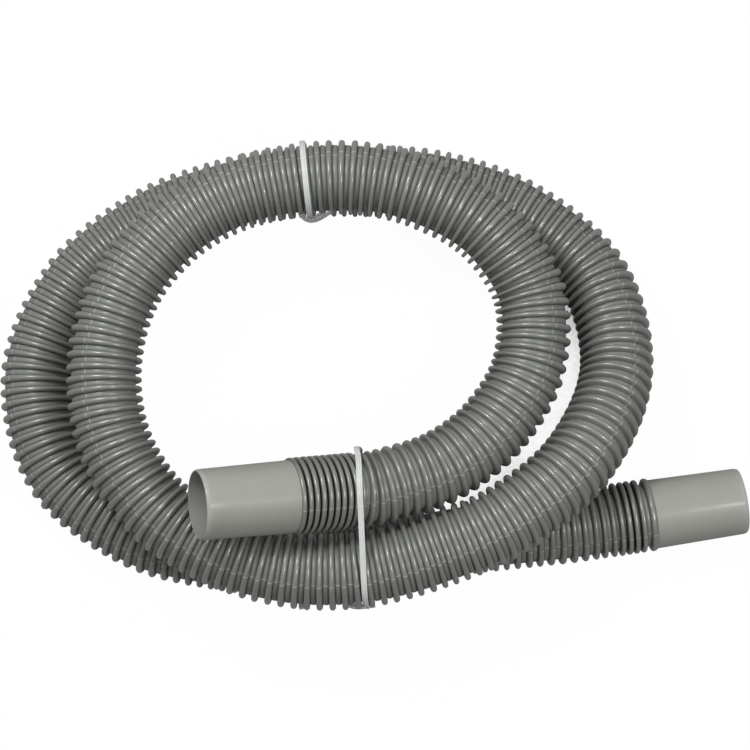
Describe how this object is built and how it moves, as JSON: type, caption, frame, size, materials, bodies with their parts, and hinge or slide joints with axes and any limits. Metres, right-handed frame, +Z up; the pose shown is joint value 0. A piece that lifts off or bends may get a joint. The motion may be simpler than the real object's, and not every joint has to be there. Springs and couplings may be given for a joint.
{
  "type": "coiled waste hose with two cuffs",
  "caption": "Ribbed flexible waste hose in a flat coil, with a plain push-on cuff glued on each end and twist ties holding the turns together.",
  "frame": {"origin": "middle of the floor under the whole kit, at the bottom centre of its bounding box", "axes": "+Z up from the floor that the coil lies on, +X along the coil's long side towards the mouth of the lower cuff, +Y to the side of the coil away from both cuffs"},
  "size_m": [0.4583, 0.2902, 0.1317],
  "materials": {
    "hose": "satin moulded polyethylene, mid grey",
    "cuff": "fine matt moulded plastic, light warm grey",
    "tie_ribbon": "thin glossy milky plastic film",
    "tie_wire": "drawn steel wire"
  },
  "bodies": {
    "root": {"hose_lead_a": "hose", "hose_coil": "hose", "hose_lead_b": "hose", "cuff_a": "cuff", "cuff_b": "cuff", "tie_upper_ribbon": "tie_ribbon", "tie_upper_wire": "tie_wire", "tie_lower_ribbon": "tie_ribbon", "tie_lower_wire": "tie_wire"}
  },
  "joints": []
}
